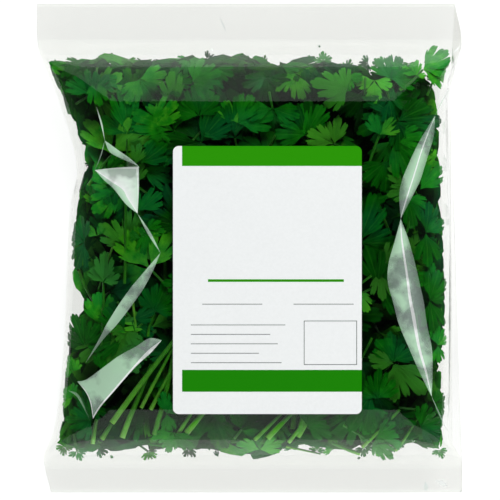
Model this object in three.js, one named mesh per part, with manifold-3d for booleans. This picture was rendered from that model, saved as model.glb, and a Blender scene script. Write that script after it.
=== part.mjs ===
// A clear film bag of cut flat-leaf parsley with a paper label, lying on its back.
// Millimetres. +X is the pack's right, +Y runs to its top seal, +Z points up, out of its labelled front.
// The origin is on the surface that the bag lies on, under the middle of its outline.
import * as THREE from "three";
import { mergeVertices } from "three/addons/utils/BufferGeometryUtils.js";
import Module from "manifold-3d";

const wasm = await Module();
wasm.setup();

// The bag: a tube of film, pressed flat and welded at both ends, so it narrows where it is full
const BAG_LENGTH = 264;
const BAG_HALF_WIDTH = 115; // flat, at the welds
const PACK_HEIGHT = 42; // from the surface to the labelled front
const FILM = 0.5; // the real film is about 0.05 thick
const TOP_WELD = 20; // from the top edge to the end of its weld
const BOTTOM_WELD = 14;
const WELD_HEIGHT = 12; // of the welded ends over the surface
const FOLD_HEIGHT = 18; // of the side folds, halfway along
const SHOULDER = 34; // over which the film climbs from a weld to the flat front
const FULLNESS = 1.15; // over 1, so that front and back are flat in the middle
const SECTION_POWER = 2.6; // 2 is an ellipse, and more is boxier
const AROUND = 28; // faces around the film tube

// The side folds, as [y, x] from the top edge to the bottom edge
const LEFT_FOLD = [
  [132, -115], [108, -114], [76, -101.5], [43, -93], [22, -96.5], [-60, -100.5], [-96, -105], [-113, -111],
  [-132, -107.5],
];
const RIGHT_FOLD = [
  [132, 111], [110, 114.5], [90, 106.8], [60, 105.7], [-20, 108.5], [-80, 107.7], [-101, 107.5], [-115, 114.5],
  [-132, 115],
];

// Two small round vents in the back, which let the leaves breathe
const VENT_RADIUS = 3;
const VENT_SPACING = 60;
const VENT_Y = 62;

const LABEL = { width: 100, length: 142, corner: 3, thickness: 0.3, x: 9.5, y: -17, gap: 0.3 };

// The parsley: sprigs pressed in layers, none of them crossing another
const SEED = 20261;
const LAYERS = 6;
const CLEAR_OF_FILM = 1.5;
const LEAST_RISE = 0.4; // of the film, as a share of full, where a sprig still fits
const NOMINAL_LAYER = 6.5;
const SWING = 0.3; // how far a leaflet leans out of its layer, as a share of the layer
const WAVE_HEIGHT = 5; // of the swells that run through the whole pile
const WAVE_LENGTH = { x: 74, y: 61 };
const SPRIG_GAP = 0.9; // between sprigs of one layer
const SHORT_SPRIGS = 7; // in each layer, beside two long ones, where they fit
const CUT_ENDS = [[-86, -42], [4, 62]]; // the stretches of x that the cut ends of the long ones lie in
const LEAF = 0.62; // blade thickness
const ROOT_WIDTH = 1.1; // of a leaf at its hub
const STEM_WIDTH = 3.2;
const BRANCH_WIDTH = 1.9;
const TRIES = 3000;
const CHOICES = 12; // sprigs that fit, of which the one with the most room stays
const MERGED = 0.01; // corners closer than this are made one

// One leaflet, of length 1 along +X from its root: a wedge that ends in three lobes
const LEAFLET_OUTLINE = [
  [0.43, -0.27], [0.75, -0.36], [0.67, -0.16], [1, 0], [0.67, 0.16], [0.75, 0.36], [0.43, 0.27],
];

const TOP_WELD_Y = BAG_LENGTH / 2 - TOP_WELD;
const BOTTOM_WELD_Y = -BAG_LENGTH / 2 + BOTTOM_WELD;

const clamp = (value, low, high) => Math.min(high, Math.max(low, value));
const degrees = (value) => (value * Math.PI) / 180;

// x at a height y of a smooth line through points, which run from the highest y to the lowest
function across(points, y) {
  let i = 0;
  while (i < points.length - 2 && y < points[i + 1][0]) i += 1;
  const [y0, x0] = points[i];
  const [y1, x1] = points[i + 1];
  const slopeAt = (k) => {
    const before = points[Math.max(0, k - 1)];
    const after = points[Math.min(points.length - 1, k + 1)];
    return (after[1] - before[1]) / (after[0] - before[0]);
  };
  const t = clamp((y - y0) / (y1 - y0), 0, 1);
  const run = y1 - y0;
  const x =
    x0 * (1 - t) * (1 - t) * (1 + 2 * t) +
    x1 * t * t * (3 - 2 * t) +
    run * t * (1 - t) * (slopeAt(i) * (1 - t) - slopeAt(i + 1) * t);
  return clamp(x, -BAG_HALF_WIDTH, BAG_HALF_WIDTH);
}

// How far the film has climbed from a weld at y, from 0 to 1
function climb(y) {
  const away = Math.min(TOP_WELD_Y - y, y - BOTTOM_WELD_Y);
  return Math.sin((Math.PI / 2) * clamp(away / SHOULDER, 0, 1));
}

const foldHeight = (y) => WELD_HEIGHT + (FOLD_HEIGHT - WELD_HEIGHT) * climb(y);

// How far the film stands off the plane of its folds, as a share of full
function rise(x, y) {
  const left = across(LEFT_FOLD, y);
  const right = across(RIGHT_FOLD, y);
  const u = Math.min(1, Math.abs((2 * x - left - right) / (right - left)));
  const section = Math.pow(1 - Math.pow(u, SECTION_POWER), 1 / SECTION_POWER);
  return Math.min(1, FULLNESS * section * climb(y));
}

const frontHeight = (x, y) => foldHeight(y) + (PACK_HEIGHT - foldHeight(y)) * rise(x, y);
const backHeight = (x, y) => foldHeight(y) * (1 - rise(x, y));

// Height of a point of the pile: level 0 is the back of the pile and level LAYERS its front
function pileHeight(x, y, level) {
  const low = backHeight(x, y) + CLEAR_OF_FILM;
  const high = frontHeight(x, y) - CLEAR_OF_FILM;
  const share = level / LAYERS;
  const room = clamp((high - low - 14) / 24, 0, 1);
  const swell = Math.sin((2 * Math.PI * x) / WAVE_LENGTH.x + 1) * Math.sin((2 * Math.PI * y) / WAVE_LENGTH.y);
  return low + share * (high - low) + 4 * share * (1 - share) * WAVE_HEIGHT * room * room * swell;
}

// Seeded random numbers
let state = SEED;
function random(low, high) {
  state = (state * 16807) % 2147483647;
  return low + (high - low) * (state / 2147483647);
}

// Solids from geometries, and back
function solidOf(geometry) {
  const bare = new THREE.BufferGeometry().setAttribute("position", geometry.getAttribute("position"));
  bare.setIndex(geometry.index);
  const merged = mergeVertices(bare, 1e-4);
  return new wasm.Manifold(
    new wasm.Mesh({
      numProp: 3,
      vertProperties: merged.attributes.position.array,
      triVerts: new Uint32Array(merged.index.array),
    }),
  );
}

function geometryOf(solid) {
  const mesh = solid.getMesh();
  const geometry = new THREE.BufferGeometry();
  geometry.setAttribute("position", new THREE.BufferAttribute(mesh.vertProperties, 3));
  geometry.setIndex(new THREE.BufferAttribute(mesh.triVerts, 1));
  geometry.computeVertexNormals();
  return geometry;
}

function moveVertices(geometry, place) {
  const position = geometry.getAttribute("position");
  for (let i = 0; i < position.count; i += 1) {
    position.setXYZ(i, ...place(position.getX(i), position.getY(i), position.getZ(i)));
  }
  return geometry;
}

// The film tube between two heights: a cylinder whose rings take the pack's cross-section
function filmTube(inset, stations) {
  const rings = stations.length - 1;
  const power = 2 / SECTION_POWER;
  return moveVertices(new THREE.CylinderGeometry(1, 1, 1, AROUND, rings), (sine, along, cosine) => {
    const y = stations[Math.round((along + 0.5) * rings)];
    const left = across(LEFT_FOLD, y) + inset;
    const right = across(RIGHT_FOLD, y) - inset;
    const fold = foldHeight(y);
    if (Math.hypot(sine, cosine) < 0.5) return [(left + right) / 2, y, fold];
    const u = Math.sign(sine) * Math.pow(Math.abs(sine), power);
    const section = Math.abs(cosine) < 1e-6 ? 0 : Math.pow(Math.abs(cosine), power);
    const share = Math.min(1, FULLNESS * section * climb(y));
    const depth = cosine > 0 ? PACK_HEIGHT - fold : fold;
    const off = section === 0 ? 0 : Math.max(inset > 0 ? FILM / 2 : FILM, depth * share - inset);
    return [(left + right) / 2 + (u * (right - left)) / 2, y, fold + Math.sign(cosine) * off];
  });
}

function makeFilm() {
  const shoulder = [0.03, 0.15, 0.3, 0.46, 0.64, 0.82, 1].map((share) => share * SHOULDER);
  const cavity = shoulder.map((d) => BOTTOM_WELD_Y + d);
  const middleSteps = 8;
  const middle = TOP_WELD_Y - BOTTOM_WELD_Y - 2 * SHOULDER;
  for (let i = 1; i < middleSteps; i += 1) {
    cavity.push(BOTTOM_WELD_Y + SHOULDER + (middle * i) / middleSteps);
  }
  cavity.push(...shoulder.map((d) => TOP_WELD_Y - d).reverse());
  const outside = [-BAG_LENGTH / 2, BOTTOM_WELD_Y, ...cavity, TOP_WELD_Y, BAG_LENGTH / 2];
  let film = solidOf(filmTube(0, outside)).subtract(solidOf(filmTube(FILM, cavity)));
  for (const side of [-1, 1]) {
    const vent = new THREE.CylinderGeometry(VENT_RADIUS, VENT_RADIUS, 4 * FILM, 16);
    vent.rotateX(Math.PI / 2);
    vent.translate((side * VENT_SPACING) / 2, VENT_Y, 0);
    film = film.subtract(solidOf(vent));
  }
  return geometryOf(film);
}

function makeLabel() {
  const { width, length, corner, thickness } = LABEL;
  const [w, l] = [width / 2, length / 2];
  const outline = new THREE.Shape();
  outline.moveTo(-w + corner, -l);
  outline.lineTo(w - corner, -l);
  outline.absarc(w - corner, -l + corner, corner, -Math.PI / 2, 0);
  outline.lineTo(w, l - corner);
  outline.absarc(w - corner, l - corner, corner, 0, Math.PI / 2);
  outline.lineTo(-w + corner, l);
  outline.absarc(-w + corner, l - corner, corner, Math.PI / 2, Math.PI);
  outline.lineTo(-w, -l + corner);
  outline.absarc(-w + corner, -l + corner, corner, Math.PI, 1.5 * Math.PI);
  return new THREE.ExtrudeGeometry(outline, { depth: thickness, bevelEnabled: false, curveSegments: 4 });
}

// Drawing a sprig flat: a stalk is a line of [x, y], and a leaf is three leaflets spread from a hub
const step = ([x, y], heading, distance) => [x + distance * Math.cos(heading), y + distance * Math.sin(heading)];

function walk(start, heading, bend, length, steps) {
  const points = [start];
  for (let i = 0; i < steps; i += 1) {
    points.push(step(points[i], heading + (bend * (i + 0.5)) / steps, length / steps));
  }
  return points;
}

// Three leaflets at the end of a stalk. Lengths of the side leaflets are shares of the middle one's
function drawLeaf(hub, heading, size) {
  return { hub, heading, size, spread: degrees(random(68, 76)), side: random(0.8, 0.92) };
}

// A whole sprig: a cut stem, one pair of side branches, and the tip, each with its three leaflets
function drawLongSprig(start, heading) {
  const sprig = { stalks: [], leaves: [] };
  const bend = degrees(random(-24, 24));
  const length = random(104, 132);
  const steps = 6;
  const fork = 4; // the step that the side branches grow from
  const axis = walk(start, heading, bend, length, steps);
  const size = random(24, 29);
  sprig.stalks.push({ points: axis, width: STEM_WIDTH });
  for (const side of [-1, 1]) {
    const away = heading + (bend * fork) / steps + side * degrees(random(48, 62));
    const branch = walk(axis[fork], away, -side * degrees(12), random(19, 25), 2);
    sprig.stalks.push({ points: branch, width: BRANCH_WIDTH });
    sprig.leaves.push(drawLeaf(branch[2], away - side * degrees(12), size * random(0.86, 0.98)));
  }
  sprig.leaves.push(drawLeaf(axis[steps], heading + bend, size));
  return sprig;
}

// A leaf broken from a sprig: a thin stalk with its three leaflets
function drawShortSprig(start, heading) {
  const sprig = { stalks: [], leaves: [] };
  const bend = degrees(random(-20, 20));
  const points = walk(start, heading, bend, random(20, 44), 3);
  sprig.stalks.push({ points, width: BRANCH_WIDTH });
  sprig.leaves.push(drawLeaf(points[3], heading + bend, random(23, 31)));
  return sprig;
}

// The leaflets of a leaf, from its right side to its left: heading from the hub, and length
function leafletsOf({ heading, size, spread, side }) {
  return [
    { heading: heading - spread, length: size * side },
    { heading, length: size },
    { heading: heading + spread, length: size * side },
  ];
}

// The discs that a flat sprig covers
function discsOf(sprig) {
  const discs = sprig.leaves.flatMap((leaf) =>
    leafletsOf(leaf).map(({ heading, length }) => ({
      centre: step(leaf.hub, heading, 0.57 * length),
      radius: 0.45 * length,
    })),
  );
  for (const { points, width } of sprig.stalks) {
    for (let i = 1; i < points.length; i += 1) {
      for (const share of [0, 0.2, 0.4, 0.6, 0.8, 1]) {
        const x = points[i - 1][0] + share * (points[i][0] - points[i - 1][0]);
        const y = points[i - 1][1] + share * (points[i][1] - points[i - 1][1]);
        discs.push({ centre: [x, y], radius: width / 2 + 0.8 });
      }
    }
  }
  return discs;
}

function fitsInBag({ centre: [x, y], radius }) {
  const reach = [[radius, 0], [-radius, 0], [0, radius], [0, -radius]];
  return reach.every(([dx, dy]) => climb(y + dy) > 0 && rise(x + dx, y + dy) > LEAST_RISE);
}

const apart = (a, b) =>
  Math.hypot(a.centre[0] - b.centre[0], a.centre[1] - b.centre[1]) > a.radius + b.radius + SPRIG_GAP;

// How far the leaves of a sprig are, at the least, from every leaf that the bag already holds
const hubs = [];
const elbowRoom = (sprig) =>
  Math.min(...sprig.leaves.flatMap(({ hub }) => hubs.map((other) => Math.hypot(hub[0] - other[0], hub[1] - other[1]))));

// Draws sprigs at random until some fit in the bag, beside the ones that their layer already holds, and keeps
// the one with the most room. It runs out of tries where the layer is full
function placeSprig(draw, taken) {
  let best = null;
  let found = 0;
  for (let i = 0; i < TRIES && found < CHOICES; i += 1) {
    const sprig = draw();
    const discs = discsOf(sprig);
    if (discs.every((disc) => taken.every((other) => apart(disc, other))) && discs.every(fitsInBag)) {
      found += 1;
      const room = elbowRoom(sprig);
      if (best === null || room > best.room) best = { sprig, discs, room };
    }
  }
  if (best === null) return null;
  taken.push(...best.discs);
  hubs.push(...best.sprig.leaves.map(({ hub }) => hub));
  return best.sprig;
}

// Long sprigs lie with their cut ends towards the bottom weld, and broken-off leaves fill in around them
function fillLayer() {
  const taken = [];
  const sprigs = [];
  for (const [left, right] of CUT_ENDS) {
    const draw = () => drawLongSprig([random(left, right), random(-108, -70)], degrees(random(58, 100)));
    sprigs.push(placeSprig(draw, taken));
  }
  for (let i = 0; i < SHORT_SPRIGS; i += 1) {
    const draw = () => drawShortSprig([random(-95, 105), random(-108, 104)], random(0, 2 * Math.PI));
    sprigs.push(placeSprig(draw, taken));
  }
  return sprigs.filter((sprig) => sprig !== null);
}

// A stalk, pressed into its layer
function stalkSolid({ points, width }, layer) {
  const section = new THREE.Shape();
  const sides = width > BRANCH_WIDTH ? 6 : 4;
  for (let i = 0; i < sides; i += 1) {
    const angle = (2 * Math.PI * i) / sides;
    const corner = [(width / 2) * Math.cos(angle), (width / 2) * Math.sin(angle)];
    if (i === 0) section.moveTo(...corner);
    else section.lineTo(...corner);
  }
  const path = new THREE.CatmullRomCurve3(points.map(([x, y]) => new THREE.Vector3(x, y, 0)));
  const stalk = new THREE.ExtrudeGeometry(section, { steps: points.length - 1, extrudePath: path });
  return solidOf(
    moveVertices(stalk, (x, y, z) => [x, y, pileHeight(x, y, layer + 0.5 + z / NOMINAL_LAYER)]),
  );
}

// A leaf, as one blade cut almost to its hub between the leaflets, and leaning out of its layer
function leafSolid(leaf, layer) {
  const lean = random(-0.5, 0.5);
  const twist = random(-0.35, 0.35);
  const corners = [step(leaf.hub, leaf.heading + Math.PI / 2, ROOT_WIDTH / 2)];
  corners.unshift(step(leaf.hub, leaf.heading - Math.PI / 2, ROOT_WIDTH / 2));
  corners.reverse();
  leafletsOf(leaf).forEach(({ heading, length }, i) => {
    const [c, s] = [length * Math.cos(heading), length * Math.sin(heading)];
    if (i > 0) corners.push(step(leaf.hub, heading - leaf.spread / 2, ROOT_WIDTH));
    corners.push(...LEAFLET_OUTLINE.map(([x, y]) => [leaf.hub[0] + c * x - s * y, leaf.hub[1] + s * x + c * y]));
  });
  const outline = new THREE.Shape(corners.map(([x, y]) => new THREE.Vector2(x, y)));
  const blade = new THREE.ExtrudeGeometry(outline, { depth: 1, bevelEnabled: false });
  const [c, s] = [Math.cos(leaf.heading) / leaf.size, Math.sin(leaf.heading) / leaf.size];
  return solidOf(
    moveVertices(blade, (x, y, z) => {
      const along = c * (x - leaf.hub[0]) + s * (y - leaf.hub[1]);
      const aside = c * (y - leaf.hub[1]) - s * (x - leaf.hub[0]);
      const level = layer + 0.5 + SWING * (lean * along + twist * aside);
      return [x, y, pileHeight(x, y, level) + (z - 0.5) * LEAF];
    }),
  );
}

function makeSprig(sprig, layer) {
  const pieces = sprig.stalks.map((stalk) => stalkSolid(stalk, layer));
  pieces.push(...sprig.leaves.map((leaf) => leafSolid(leaf, layer)));
  return geometryOf(wasm.Manifold.union(pieces).simplify(MERGED));
}

const filmMaterial = new THREE.MeshStandardMaterial({
  color: 0xf2f5f2,
  roughness: 0.12,
  metalness: 0,
  transparent: true,
  opacity: 0.25,
});
const labelMaterial = new THREE.MeshStandardMaterial({ color: 0xeeeff2, roughness: 0.55, metalness: 0 });
const parsleyMaterial = new THREE.MeshStandardMaterial({ color: 0x1f6a14, roughness: 0.5, metalness: 0 });

const pack = new THREE.Group();

function add(name, geometry, material) {
  const mesh = new THREE.Mesh(geometry, material);
  mesh.name = name;
  pack.add(mesh);
  return mesh;
}

add("bag_film", makeFilm(), filmMaterial);
add("label", makeLabel(), labelMaterial).position.set(LABEL.x, LABEL.y, PACK_HEIGHT + LABEL.gap);
const layers = Array.from({ length: LAYERS }, fillLayer);
layers.forEach((sprigs, layer) => {
  sprigs.forEach((sprig, i) => add(`sprig_${layer + 1}_${i + 1}`, makeSprig(sprig, layer), parsleyMaterial));
});

export default pack;
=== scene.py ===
"""Looks of a clear film bag of cut flat-leaf parsley with a paper label, which lies on its back."""

import math

import bpy
import numpy as np
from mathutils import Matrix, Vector
from mathutils.geometry import delaunay_2d_cdt


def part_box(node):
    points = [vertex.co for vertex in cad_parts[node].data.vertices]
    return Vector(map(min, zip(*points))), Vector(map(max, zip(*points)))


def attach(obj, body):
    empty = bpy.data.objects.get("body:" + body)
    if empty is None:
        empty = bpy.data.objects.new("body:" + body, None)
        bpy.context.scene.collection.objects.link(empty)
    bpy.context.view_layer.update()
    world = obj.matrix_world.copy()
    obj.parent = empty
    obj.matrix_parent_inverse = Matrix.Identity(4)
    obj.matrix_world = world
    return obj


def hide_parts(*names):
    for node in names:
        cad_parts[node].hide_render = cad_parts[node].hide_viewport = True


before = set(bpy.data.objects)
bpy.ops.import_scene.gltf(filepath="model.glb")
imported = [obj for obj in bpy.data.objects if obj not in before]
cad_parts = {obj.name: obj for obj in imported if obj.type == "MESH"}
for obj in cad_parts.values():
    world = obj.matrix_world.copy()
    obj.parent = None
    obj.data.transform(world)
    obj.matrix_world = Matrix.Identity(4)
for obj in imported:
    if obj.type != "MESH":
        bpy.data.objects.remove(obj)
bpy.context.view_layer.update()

# The film bag
# Clear glossy plastic film, drawn into a tube round the leaves and welded shut across both ends. It is
# widest at the welds, drawn in where it is full, and sharply creased on both sides of its flat front.
MM = 0.001  # sizes are in millimetres, and the meshes in metres
film_low, film_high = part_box("bag_film")
BAG_LENGTH = round((film_high[1] - film_low[1]) / MM, 1)
BAG_HALF_WIDTH = round((film_high[0] - film_low[0]) / MM / 2, 1)
PACK_HEIGHT = round(film_high[2] / MM, 1)
TOP_WELD = 20
BOTTOM_WELD = 14
TOP_WELD_Y = BAG_LENGTH / 2 - TOP_WELD
BOTTOM_WELD_Y = BOTTOM_WELD - BAG_LENGTH / 2
WELD_HEIGHT = 12  # of the flat welds over the table
FOLD_HEIGHT = 18  # of the side folds, where the bag is full
SHOULDER = 34  # from a weld to where the bag is full
FULLNESS = 1.15  # above 1, so that the middle is flat
SECTION_POWER = 2.6  # of the back's section: 2 would be round
SLOPE_TOP_Y = 77.5  # where the front starts to slope down to each weld
SLOPE_BOTTOM_Y = -85.5
SLOPE = 0.25
FRONT_POWER = 3.2  # of the front's section: a little squarer than the solid model's
SLOPE_BEND = 0.06  # how softly the slopes run into the sides, as a share of the bag's fullness
FILM_INSIDE = 0.15  # of the solid model's surface
FILM_THICKNESS = 0.12
SHEETS_APART = 0.2  # of each sheet from the middle of a weld
VENT_X = 30
VENT_Y = 62
VENT_RADIUS = 3
VENT_CORNERS = 24
LEFT_FOLD_POINTS = [
    (132, -115), (108, -114), (76, -101.5), (43, -93), (22, -96.5), (-60, -100.5), (-96, -105), (-113, -111),
    (-132, -107.5),
]
RIGHT_FOLD_POINTS = [
    (132, 111), (110, 114.5), (90, 106.8), (60, 105.7), (-20, 108.5), (-80, 107.7), (-101, 107.5),
    (-115, 114.5), (-132, 115),
]


def fold_line(points):
    """A side fold's y and x, from the top edge to the bottom edge, and its slope at each point"""
    y, x = np.array(points, dtype=float).T
    order = np.arange(len(y))
    before = np.maximum(order - 1, 0)
    after = np.minimum(order + 1, len(y) - 1)
    return y, x, (x[after] - x[before]) / (y[after] - y[before])


LEFT_FOLD = fold_line(LEFT_FOLD_POINTS)
RIGHT_FOLD = fold_line(RIGHT_FOLD_POINTS)


def across(fold, y):
    """x of a side fold at each height y"""
    ys, xs, slopes = fold
    i = np.searchsorted(-ys[1:-1], -y)
    run = ys[i + 1] - ys[i]
    t = np.clip((y - ys[i]) / run, 0, 1)
    x = xs[i] * (1 - t) ** 2 * (1 + 2 * t) + xs[i + 1] * t * t * (3 - 2 * t)
    x += run * t * (1 - t) * (slopes[i] * (1 - t) - slopes[i + 1] * t)
    return np.clip(x, -BAG_HALF_WIDTH, BAG_HALF_WIDTH)


def climb(y):
    """How far the film has climbed from a weld at y, from 0 to 1"""
    away = np.minimum(TOP_WELD_Y - y, y - BOTTOM_WELD_Y)
    return np.sin(np.pi / 2 * np.clip(away / SHOULDER, 0, 1))


def fold_height(y):
    return WELD_HEIGHT + (FOLD_HEIGHT - WELD_HEIGHT) * climb(y)


def section(x, y, power):
    """Height of the bag's section across, from 0 at the side folds to 1 in the middle"""
    left = across(LEFT_FOLD, y)
    right = across(RIGHT_FOLD, y)
    u = np.minimum(1, np.abs((2 * x - left - right) / (right - left)))
    return (1 - u**power) ** (1 / power)


def rise(x, y):
    """How far the film stands off the plane of its folds, as a share of full"""
    return np.minimum(1, FULLNESS * section(x, y, SECTION_POWER) * climb(y))


def front_height(x, y):
    """The front of the film: four slopes round a flat middle, which meet in lines that run to the corners"""
    fold = fold_height(y)
    sides = FULLNESS * section(x, y, FRONT_POWER)
    ends = FULLNESS * climb(y)
    lower = np.minimum(sides, ends)
    meeting = np.clip(1 - (np.maximum(sides, ends) - lower) / (3 * SLOPE_BEND), 0, 1)
    lower = lower - SLOPE_BEND * meeting**2 * np.minimum(1, lower)
    down = SLOPE * (np.maximum(0, y - SLOPE_TOP_Y) + np.maximum(0, SLOPE_BOTTOM_Y - y))
    slope = 1 - down / (PACK_HEIGHT - fold)
    return fold + (PACK_HEIGHT - fold) * np.maximum(0, np.minimum(lower, slope))


def back_height(x, y):
    return fold_height(y) * (1 - rise(x, y))


def ripple(x, y):
    """Shallow swells of the film over the leaves, never outwards"""
    swell = np.sin(x / 9.1 + 1.3 * np.sin(y / 23)) * np.sin(y / 11.3 + 0.9 * np.sin(x / 17))
    return 0.22 * (swell - 1)


def gathers(x, y):
    """Small folds that run away from the welds, where the flat film turns into the full tube"""
    away = np.minimum(np.abs(TOP_WELD_Y - y), np.abs(y - BOTTOM_WELD_Y))
    fade = np.exp(-((away / 9) ** 2))
    return 0.28 * fade * (np.sin(x / 3.1 + 2 * np.sin(x / 13)) + 0.6 * np.sin(x / 1.7 + 1))


def new_object(name, vertices, faces, sharp_angle=None):
    """A mesh object from vertices in millimetres, smooth but for edges sharper than an angle in degrees"""
    mesh = bpy.data.meshes.new(name)
    mesh.from_pydata((np.asarray(vertices) * MM).tolist(), [], faces)
    mesh.update()
    mesh.shade_smooth()
    if sharp_angle is not None:
        mesh.set_sharp_from_angle(angle=math.radians(sharp_angle))
    piece = bpy.data.objects.new(name, mesh)
    bpy.context.scene.collection.objects.link(piece)
    return piece


def apply_modifiers(piece):
    """Bakes the modifiers of a piece into its mesh"""
    evaluated = piece.evaluated_get(bpy.context.evaluated_depsgraph_get())
    mesh = bpy.data.meshes.new_from_object(evaluated)
    piece.modifiers.clear()
    piece.data = mesh


# The creases of the front. Each is a pinch of the film that runs from one sharp tip to another, with
# straight facets between its lines. It is given as its two tips, the lines' heights, the milkiness along
# both sides of each facet, partly stress whitening and partly painted sheen in place of reflections, and
# the points of its lines between the tips, from left to right as one looks from the first tip to the
# second. A point given twice is a corner
CREASES = [
    (
        [(-81.3, 75), (-76.8, 57)], [0.1, 0.3], [(0.7, 0.7)],
        [[(-79, 66)], [(-78.2, 66.2)]],
    ),
    (
        [(-76.8, 57), (-58.7, 43.2)], [0.5, -0.5], [(0.62, 0.42)],
        [[(-74.9, 55.7), (-69.2, 51.6), (-63.1, 47.3)], [(-74.1, 50.9), (-67.5, 47.2), (-63.1, 45.2)]],
    ),
    (
        [(-76.8, 57), (-82.2, 41.4)], [0.2, 0.2], [(0.4, 0.4)],
        [[(-78.6, 49.2)], [(-79.3, 48.9)]],
    ),
    (
        [(-82.2, 41.4), (-59.3, 18.2)], [0.5, 0.3, -0.4, -0.3, 0.1],
        [(0.75, 0.95), (0.72, 0.9), (1.0, 1.0), (0.7, 0.45)],
        [
            [(-70, 42.6), (-58.7, 43.2), (-58.7, 43.2), (-58.6, 31)],
            [(-70, 41.9), (-59.9, 42), (-59.9, 42), (-59.3, 31)],
            [(-73.1, 36.2), (-66.6, 31.9), (-63.6, 26.3)],
            [(-73.4, 35.2), (-67.3, 31), (-64.4, 26)],
            [(-77.4, 36.2), (-71.9, 31.2), (-65.4, 23.1)],
        ],
    ),
    (
        [(-59.3, 18.2), (-47.2, -2.6)], [0.4, -0.3], [(0.6, 0.45)],
        [[(-52.2, 7.8)], [(-53.7, 7.1)]],
    ),
    (
        [(-47.2, -2.6), (-87, -61)], [-0.6, 0.4], [(0.3, 0.42)],
        [
            [(-51.1, -12), (-56.3, -21.8), (-62.8, -31), (-70.6, -41), (-77.4, -48.3)],
            [(-55, -11.7), (-62.8, -21), (-69.4, -30.3), (-75.9, -40.7), (-79.3, -47.5)],
        ],
    ),
    (
        [(-91.5, -71), (-46.5, -48.9)], [0.5, 0.4, -0.2], [(0.95, 0.95), (0.46, 0.4)],
        [
            [
                (-86.9, -76.6), (-84.4, -82.4), (-83, -90.6), (-83, -90.6), (-78.5, -83.7), (-70.6, -74.6),
                (-60.2, -62.8), (-52.4, -55.7),
            ],
            [
                (-86.7, -76.4), (-84.1, -82), (-82.9, -89.2), (-82.9, -89.2), (-79, -83.1), (-71.2, -74),
                (-61, -62.2), (-53.8, -54.4),
            ],
            [(-86.9, -70), (-80.4, -65.5), (-69.4, -57.4), (-60.2, -52.3), (-53, -47.9)],
        ],
    ),
    (
        [(98.9, 70.5), (80.2, 15.5)], [0.0, 0.5, 0.5, 0.1], [(0.24, 0.56), (0.9, 0.9), (0.54, 0.22)],
        [
            [(93.4, 61.9), (89, 54.3), (84.6, 44.9), (80.8, 35.6), (79.4, 27.4)],
            [(94.4, 60.3), (90.9, 51), (86.9, 38.4), (84.2, 30.1), (81.1, 19.7)],
            [(95, 60.4), (91.6, 51.1), (87.7, 38.5), (85, 30.2), (81.6, 19.7)],
            [(98.3, 60.3), (95.6, 51), (92.8, 42.2), (90.6, 35.6), (86.8, 27.9)],
        ],
    ),
    (
        [(80.2, 15.5), (96.9, -79)], [-0.4, 0.5, 0.5, 0.1], [(0.32, 0.6), (0.95, 0.95), (0.58, 0.3)],
        [
            [
                (77.2, 4.3), (73.8, -8.1), (73.4, -18.3), (76.1, -28.6), (79.2, -40.3), (84.7, -53.3),
                (90.2, -65.7),
            ],
            [(80.4, 4.3), (83, -14.9), (84.4, -26.6), (86.2, -36.9), (89.3, -52.7), (93.4, -66.4)],
            [(81.2, 4.3), (84.2, -14.9), (85.9, -26.6), (88, -36.9), (90.7, -52.7), (94.4, -66.4)],
            [
                (84.4, 4.3), (88.2, -9.4), (90.9, -21.1), (92.6, -28.6), (94.3, -40.3), (97.1, -54),
                (97.4, -67.7),
            ],
        ],
    ),
    (
        [(108, 86), (98.9, 70.5)], [0.2, 0.2], [(0.4, 0.4)],
        [[(103.4, 78.5)], [(102.7, 78.2)]],
    ),
    (
        [(96.9, -79), (105.3, -97.3)], [0.2, 0.2], [(0.5, 0.5)],
        [[(101.4, -88)], [(100.7, -88.2)]],
    ),
    (
        [(-97, -76), (-84.6, -91.5)], [0.2, -0.2], [(0.2, 0.1)],
        [[(-91.5, -79.5)], [(-90.7, -78.2)]],
    ),
]
# Painted glints: small bright highlights near the welds, painted as whitened film on tiny creases
HEADER_GLINTS = [  # the tips of each, and the middle of its left and its right side
    ([(-15.9, 124.6), (-12.4, 116.4)], (-14.6, 120.6), (-14, 120.9)),
    ([(113.2, 108.6), (109, 104.2)], (111, 106.6), (111.4, 106.3)),
    ([(-20.6, 107.4), (-19.6, 105.4)], (-20.4, 106.4), (-19.7, 106.6)),
    ([(95, -126), (95, -131.4)], (94.2, -129), (96.6, -129)),
    ([(101, -125.6), (107, -128.6)], (103.6, -128.4), (104.6, -125.6)),
]
CREASES += [(tips, [0.1, 0.1], [(0.9, 0.9)], [[left], [right]]) for tips, left, right in HEADER_GLINTS]
TRACE_STEP = 1.2
CREASE_ROOM = 0.9  # from a crease's lines to the nearest other points of the mesh
FLAT_HALF = 100  # half the width of a sheet while it is divided
COLUMNS_AT_FOLD = [1, 0.998, 0.993, 0.985, 0.974, 0.96, 0.94, 0.918]  # shares of the half width
FLAT_FOLD = 12  # power with which the gathers and the gap between the sheets fade out at the folds
SUNK_CREASE = 0.3  # share of a raised crease's height that the film lies lower


def trace(points):
    """A smooth line through given points, as points about TRACE_STEP apart"""
    points = np.array(points, dtype=float)
    traced = []
    last = len(points) - 1
    for i in range(last):
        before, start, end, after = points[[max(i - 1, 0), i, i + 1, min(i + 2, last)]]
        count = math.ceil(math.dist(start, end) / TRACE_STEP)
        for t in np.arange(count) / max(count, 1):
            bend = (end - before) * t * (1 - t) ** 2 - (after - start) * t * t * (1 - t)
            traced.append(start + (end - start) * t * t * (3 - 2 * t) + bend / 2)
    traced.append(points[-1])
    return np.array(traced)


def share_across(x, y):
    """A place across a sheet as a share of half its width"""
    left = across(LEFT_FOLD, y) + FILM_INSIDE
    right = across(RIGHT_FOLD, y) - FILM_INSIDE
    return (2 * x - left - right) / (right - left)


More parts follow.
